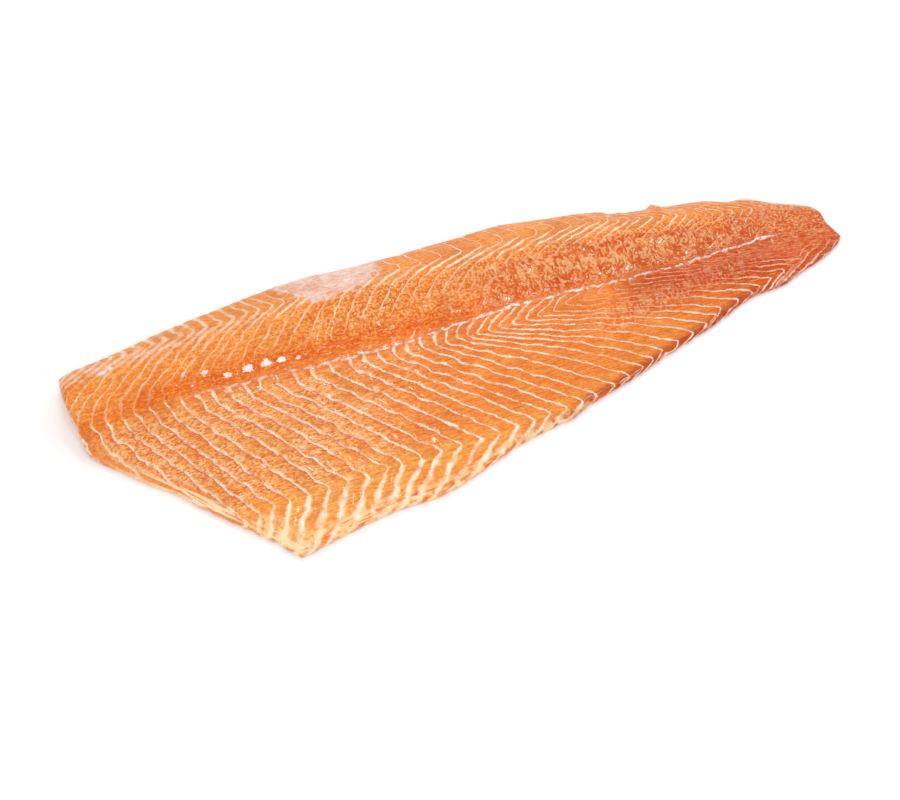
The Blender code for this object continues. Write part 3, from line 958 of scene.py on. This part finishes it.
def layered_edges(g, colour, vector, wall, cream):
    """Fat of the flank, layers of the head's bevel and torn layers of the belly edge."""
    bevel, stripes = g.number("bevel"), g.number("edge_stripes")
    blotches = g.ramp(g.noise(vector, 0.2, 4.0, 0.6), 0.4, 0.58)
    colour = g.mix(g.times(g.number("flank"), blotches, 0.75), colour, FLANK_FAT)
    lengthways = g.times(g.add("ShaderNodeSeparateXYZ", {0: vector}).outputs[0], 0.03)
    inwards = g.times(g.number("edge_gap"), 0.42)
    place = g.add("ShaderNodeCombineXYZ", {"X": lengthways, "Y": inwards}).outputs[0]
    layers = g.noise(place, 1.0, 3.0, 0.6, 0.4)
    between = g.minus(1.0, wall)
    pale = g.ramp(layers, 0.47, 0.58)
    colour = g.mix(g.times(bevel, pale, 0.85), colour, BEVEL_PALE)
    dark = g.ramp(layers, 0.34, 0.44, 0.6, 0.0)
    colour = g.mix(g.times(bevel, dark, between), colour, BEVEL_DARK)
    torn = g.ramp(layers, 0.5, 0.6)
    colour = g.mix(g.times(stripes, torn, between, 0.75), colour, TORN_LAYER)
    return g.mix(g.times(stripes, g.ramp(layers, 0.36, 0.44, 0.7, 0.0)), colour, cream)


def midline_strip(g, colour, vector):
    """The pale membrane on the midline over its shade; also gives where it lies."""
    uneven = g.minus(g.noise(vector, 0.12, 6.0, 0.7), 0.5)
    away = g.math("ABSOLUTE", g.plus(g.number("midline"), g.times(uneven, 9.0)))
    breaks = g.ramp(g.noise(vector, 0.2, 4.0, 0.65), 0.42, 0.54, 0.1, 1.0)
    show = g.number("midline_show")
    # Painted shade around the midline strip.
    shade = g.times(g.ramp(away, 1.2, 3.5, 1.0, 0.0), show, 0.35)
    strip = g.times(g.ramp(away, 0.5, 1.5, 1.0, 0.0), show, breaks)
    return g.mix(strip, g.mix(shade, colour, PAINTED_SHADE), WHITE_FAT), strip


def back_membrane(g, colour, vector, pale):
    """The thin pink skin left on the back; also gives its relief."""
    border = g.times(g.minus(g.noise(vector, 0.1, 6.0, 0.72), 0.5), 34.0)
    membrane = g.ramp(g.plus(g.number("membrane"), border), -2.0, 4.0)
    threads = g.noise(g.stretched(vector, 0.2, 0.5, 0.5), 1.0, 4.0, 0.65, 1.0)
    film = g.mix(g.ramp(threads, 0.35, 0.52, 0.6, 0.0), pale, FILM_THREAD)
    # White threads of the film: fibres, partly painted highlight.
    film = g.mix(g.ramp(threads, 0.54, 0.66, 0.0, 0.8), film, WHITE_FAT)
    cover = g.ramp(g.noise(vector, 0.07, 4.0, 0.65), 0.36, 0.56, 0.5, 0.95)
    relief = g.times(membrane, g.ramp(threads, 0.3, 0.7), 0.5)
    return g.mix(g.times(membrane, cover), colour, film), relief


def glint_and_fat_spots(g, colour, vector, grain):
    """Painted highlight spots in the groove and pale fat blobs by the head end and the back
    edge, broken up by the grain.
    """
    ragged = g.times(g.minus(g.noise(vector, 0.4, 4.0, 0.65), 0.5), 6.0)
    glints_and_fat = g.ramp(g.plus(g.number("wet"), ragged, -0.6), -0.1, 0.5)
    glints_and_fat = g.times(glints_and_fat, g.ramp(grain["Grain"], 0.28, 0.4))
    return g.mix(g.times(glints_and_fat, 0.95), colour, GLINT_AND_FAT_SPOT)


def flesh_material(look, groups):
    """Flesh side and rim."""
    material, g, shader = new_material("salmon_flesh")
    vector = millimetres(g)
    walls = g.use(groups["walls"], {"Segment": g.number("segment"), "Band": g.number("band"),
                                    "Half Width": g.number("wall_half"), "Vector": vector})
    grain = g.use(groups["grain"], {"Vector": vector, "Shift": walls["Tone"]})
    shingle, scraped, gloss = g.number("shingle"), g.number("scraped"), g.number("gloss")
    wrinkled = g.math("MAXIMUM", scraped, g.times(g.number("rippled"), 0.8))
    cream = (*look.wall_colour, 1)

    colour = lit(g, g.colour("tint"), flesh_light(g, walls, grain))
    colour = crinkled(g, colour, grain, wrinkled)
    colour = glistening(g, colour, vector, grain)
    colour, wall = walled(g, colour, walls, grain, cream)
    colour = layered_edges(g, colour, vector, wall, cream)
    colour, strip = midline_strip(g, colour, vector)
    colour, film = back_membrane(g, colour, vector, (*look.membrane_colour, 1))
    colour = glint_and_fat_spots(g, colour, vector, grain)

    step = g.times(g.minus(1.0, walls["Share"]), g.ramp(walls["Share"], 0.0, 0.05))
    fine = g.plus(g.times(gloss, 0.5), g.times(g.number("speckled"), 0.35), 0.02)
    height = g.plus(
        g.times(step, g.plus(g.times(shingle, 0.6), 0.05), g.number("wall_show")),
        g.times(wall, 0.16),
        g.times(grain["Grain"], fine),
        g.times(grain["Curls"], g.plus(g.times(shingle, 0.12), g.times(scraped, 0.2))),
        g.times(grain["Fibres"], 0.1),
        g.times(grain["Wrinkles"], wrinkled, 2.2),
        g.times(strip, 0.3),
        film)
    dull = g.ramp(g.noise(vector, 0.12, 3.0), 0.3, 0.7, -0.06, 0.08)
    shine = g.ramp(grain["Wrinkles"], 0.5, 0.64, 0.2, 1.0)
    g.feed_all(shader.inputs, {
        "Base Color": colour, "Roughness": g.plus(look.roughness, dull, g.times(wall, 0.12)),
        "Normal": bumped(g, height), "Coat Weight": g.times(gloss, shine)})
    shader.inputs["Coat Roughness"].default_value = 0.1
    shader.inputs["Specular IOR Level"].default_value = 0.1
    shader.inputs["Subsurface Weight"].default_value = 0.1
    shader.inputs["Subsurface Radius"].default_value = (1.0, 0.35, 0.12)
    shader.inputs["Subsurface Scale"].default_value = 0.002
    return material


def skinned_material(look, groups):
    """Underside, where the skin was: chevrons, silver fat and the brown side line."""
    material, g, shader = new_material("salmon_skinned_side")
    vector = millimetres(g)
    parts = g.add("ShaderNodeSeparateXYZ", {0: vector}).outputs
    side_line = g.apart(parts["Y"], SIDE_LINE_Y)
    folded = g.times(g.apart(side_line, CHEVRON_TURN), CHEVRON_LEAN)
    segment = g.math("DIVIDE", g.plus(parts["X"], folded), CHEVRON_SPACING)
    walls = g.use(groups["walls"], {"Segment": segment, "Band": 7.8, "Half Width": 0.35,
                                    "Vector": vector})
    grain = g.use(groups["grain"], {"Vector": vector, "Shift": walls["Tone"]})
    light = g.times(g.ramp(grain["Fibres"], 0.3, 0.7, 0.88, 1.1),
                    g.ramp(grain["Mottle"], 0.3, 0.7, 0.92, 1.06))
    colour = lit(g, (*look.tail_colour, 1), light)
    brown = g.ramp(g.plus(side_line, g.times(grain["Mottle"], 10.0)), 8.0, 15.0, 1.0, 0.0)
    colour = g.mix(g.times(brown, 0.75), colour, SIDE_LINE_BROWN)
    fat = g.ramp(g.noise(vector, 0.045, 5.0), 0.5, 0.66)
    colour = g.mix(g.times(fat, g.minus(1.0, brown), 0.7), colour, SILVER_FAT)
    colour = g.mix(g.times(walls["Wall"], 0.6), colour, (*look.wall_colour, 1))
    height = g.plus(g.times(walls["Wall"], 0.08), g.times(grain["Grain"], 0.1))
    g.feed_all(shader.inputs, {"Base Color": colour, "Normal": bumped(g, height)})
    shader.inputs["Roughness"].default_value = 0.38
    return material


class SALMON_OT_flesh(Operator):
    """Model the side of salmon from a grid that follows its edges"""
    bl_idname = "salmon.flesh"
    bl_label = "Salmon flesh"

    def execute(self, context):
        look = context.scene.salmon_look
        deselect_all()
        low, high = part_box(NODE)
        offset = np.array([(low.x + high.x) / 2 - PLAN_CENTRE[0] * MM,
                           (low.y + high.y) / 2 - PLAN_CENTRE[1] * MM, 0])
        bpy.ops.mesh.primitive_grid_add(
            x_subdivisions=GRID_ALONG, y_subdivisions=GRID_ACROSS, size=high.x - low.x,
            location=(0, 0, 0))
        flesh = context.object
        flesh.name = flesh.data.name = "salmon_side"
        mesh = flesh.data

        start = coordinates(mesh)
        size = high.x - low.x
        column = np.rint((start[:, 0] / size + 0.5) * GRID_ALONG).astype(int)
        row = np.rint((start[:, 1] / size + 0.5) * GRID_ACROSS).astype(int)
        waist = outline()
        top = inward(waist, RIM_INSET_TOP)
        points = patch(top)[column, row]
        z, rim, edge_gap = flesh_height(points, waist)
        zones = Zones(points[:, 0], points[:, 1], np.zeros(len(points)))
        share = zones.segment % 1
        relief = look.wall_relief / MM * 4 * share * (1 - share)
        undulate = 0.35 * ripple(*points.T, 26, 10) + 0.12 * ripple(*points.T, 9, 11)
        z = z + (relief * np.clip(zones.band / 5, 0, 1) + undulate) * rim
        set_coordinates(mesh, np.column_stack([points, z]) * MM + offset)

        rows = self.rim_rows(mesh, column, row, top, waist, z, offset)
        bpy.ops.object.mode_set(mode="EDIT")
        bpy.ops.mesh.edge_face_add()
        bpy.ops.object.mode_set(mode="OBJECT")
        self.finish_mesh(flesh, look, edge_gap, rows, offset)
        return {"FINISHED"}

    def rim_rows(self, mesh, column, row, top, waist, z, offset):
        """Extrudes the open border down the rim to the table, row by row."""
        number = np.empty((GRID_ALONG + 1, GRID_ACROSS + 1), int)
        number[column, row] = np.arange(len(column))
        ring = np.concatenate([number[:-1, 0], number[-1, :-1], number[:0:-1, -1],
                               number[0, :0:-1]])
        foot = inward(waist, RIM_INSET_FOOT)
        crest = z[ring]
        middle = crest * RIM_WAIST
        select_ring(mesh, ring)
        made = []
        for step in range(1, 2 * RIM_ROWS + 2):
            ring = extrude_ring(mesh, ring)
            turn = step / RIM_ROWS * math.pi / 2
            if step <= RIM_ROWS:
                plan = top + (waist - top) * math.sin(turn)
                height = middle + (crest - middle) * math.cos(turn)
            elif step <= 2 * RIM_ROWS:
                plan = foot + (waist - foot) * math.sin(turn)
                height = middle * (1 + math.cos(turn))
            else:
                plan = inward(foot, UNDERSIDE_BORDER)
                height = np.zeros(len(foot))
            values = coordinates(mesh)
            values[ring] = np.column_stack([plan, height]) * MM + offset
            set_coordinates(mesh, values)
            made.append((ring, crest))
        return made

    def finish_mesh(self, flesh, look, edge_gap, rows, offset):
        """Stores what the materials read, and sets the two materials."""
        mesh = flesh.data
        own = (coordinates(mesh) - offset) / MM
        gap = np.zeros(len(own))
        gap[:len(edge_gap)] = edge_gap
        depth = np.zeros(len(own))
        for ring, crest in rows:
            depth[ring] = crest - own[ring, 2]
        zones = Zones(own[:, 0], own[:, 1], depth)
        near_head = distance_to(HEAD_CUT[HEAD_BEVEL_END:], own[:, :2])
        face = (depth > 0.5) * (1 - fade(near_head, 1.5, 3))
        values = {
            "segment": zones.segment, "band": zones.band, "midline": zones.midline,
            "wall_half": zones.wall_half(), "wall_show": zones.wall_show(),
            "midline_show": zones.midline_show(),
            "shingle": zones.shingled() * (1 - zones.bevel()),
            "scraped": zones.scraped(), "rippled": zones.rippled(), "tail": zones.tail(),
            "groove": zones.groove() * (1 - zones.scraped()),
            "bevel": zones.bevel() * (0.25 + 0.75 * fade(-own[:, 1], 15, 70)),
            # The wet attribute holds the painted highlight spots of the groove and the fat
            # blobs.
            "speckled": zones.speckled(), "membrane": zones.membrane(), "wet": zones.wet(),
            "edge_gap": gap, "flank": zones.flank(gap),
            "edge_stripes": zones.edge_stripes(gap), "gloss": zones.gloss(),
            "tint": zones.tint(look, gap, face),
        }
        for name, value in values.items():
            set_attribute(mesh, name, value)

        groups = {"walls": walls_group(), "grain": grain_group()}
        mesh.materials.append(flesh_material(look, groups))
        mesh.materials.append(skinned_material(look, groups))
        centres = np.empty(len(mesh.polygons) * 3)
        mesh.polygons.foreach_get("center", centres)
        below = centres.reshape(-1, 3)[:, 2] < UNDERSIDE_BELOW
        mesh.polygons.foreach_set("material_index", below.astype(int))
        mesh.shade_smooth()
        mesh.set_sharp_from_angle(angle=math.radians(60))
        mesh.update()
        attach(flesh, "root")
        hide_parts(NODE)


class SALMON_OT_stage(Operator):
    """Add the pale table, the soft light and the camera"""
    bl_idname = "salmon.stage"
    bl_label = "Table, light and camera"

    def execute(self, context):
        look = context.scene.salmon_stage
        deselect_all()
        bpy.ops.mesh.primitive_plane_add(size=TABLE_SIZE, location=(0, 0, TABLE_HEIGHT))
        table = context.object
        table.name = table.data.name = "table"
        material, _, shader = new_material("pale_table")
        shader.inputs["Base Color"].default_value = (*look.table_colour, 1)
        shader.inputs["Roughness"].default_value = 0.7
        table.data.materials.append(material)
        for name, place, size, share in LIGHTS:
            self.area_light(name, place, size, look.key_power * share)

        world = bpy.data.worlds.new("white_room")
        context.scene.world = world
        world.use_nodes = True
        background = world.node_tree.nodes["Background"]
        background.inputs["Color"].default_value = (1, 1, 1, 1)
        background.inputs["Strength"].default_value = look.fill_strength

        bpy.ops.object.camera_add()
        camera = context.object
        camera.name = "camera"
        camera.data.lens = look.lens
        camera.data.sensor_width = 36
        camera.data.clip_start = 0.01
        camera.location = CAMERA_PLACE
        self.aim(camera, Vector(CAMERA_TARGET) - Vector(CAMERA_PLACE))
        context.scene.camera = camera
        context.scene.view_settings.view_transform = "Standard"
        return {"FINISHED"}

    def area_light(self, name, place, size, power):
        bpy.ops.object.light_add(type="AREA", location=place)
        light = bpy.context.object
        light.name = name
        light.data.size = size
        light.data.energy = power
        self.aim(light, Vector((0, 0, 0)) - Vector(place))

    def aim(self, thing, direction):
        thing.rotation_mode = "QUATERNION"
        thing.rotation_quaternion = direction.to_track_quat("-Z", "Y")


class SALMON_PT_panel(Panel):
    """Lists the pieces of the salmon side"""
    bl_idname = "SALMON_PT_panel"
    bl_label = "Salmon side"
    bl_space_type = "VIEW_3D"
    bl_region_type = "UI"
    bl_category = "Salmon"

    def draw(self, context):
        for operator in OPERATORS:
            self.layout.operator(operator.bl_idname)
        for look in (context.scene.salmon_look, context.scene.salmon_stage):
            for name in look.__annotations__:
                self.layout.prop(look, name)


OPERATORS = (SALMON_OT_flesh, SALMON_OT_stage)
CLASSES = (SalmonLook, StageLook) + OPERATORS + (SALMON_PT_panel,)


def register():
    for kind in CLASSES:
        bpy.utils.register_class(kind)
    bpy.types.Scene.salmon_look = PointerProperty(type=SalmonLook)
    bpy.types.Scene.salmon_stage = PointerProperty(type=StageLook)


def unregister():
    del bpy.types.Scene.salmon_stage
    del bpy.types.Scene.salmon_look
    for kind in reversed(CLASSES):
        bpy.utils.unregister_class(kind)


def main():
    register()
    bpy.ops.salmon.flesh()
    bpy.ops.salmon.stage()


if __name__ == "__main__":
    main()
